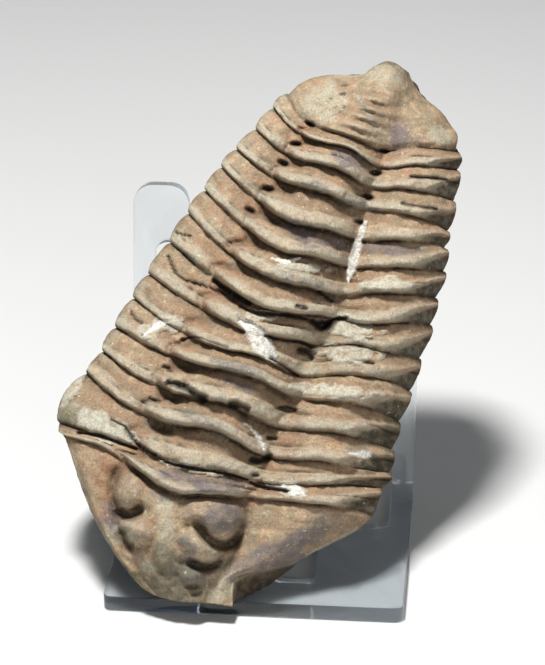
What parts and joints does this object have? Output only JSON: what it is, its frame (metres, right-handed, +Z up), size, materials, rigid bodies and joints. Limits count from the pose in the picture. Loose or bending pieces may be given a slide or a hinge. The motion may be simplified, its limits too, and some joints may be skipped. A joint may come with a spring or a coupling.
{
  "type": "trilobite fossil on a stand",
  "caption": "Ribbed trilobite fossil in ochre mudstone, leaning head down against a small easel stand bent from one sheet of clear acrylic.",
  "frame": {"origin": "middle of the whole object's footprint, on the surface that the stand rests on", "axes": "+Z up, +X to the right and +Y away from the viewer who faces the fossil's back, whose head is down"},
  "size_m": [0.0728, 0.0701, 0.0867],
  "materials": {
    "fossil": "matte, sandy, ochre to grey brown",
    "stand": "clear, polished faces, lightly scratched"
  },
  "bodies": {
    "root": {"fossil": "fossil", "stand": "stand"}
  },
  "joints": []
}
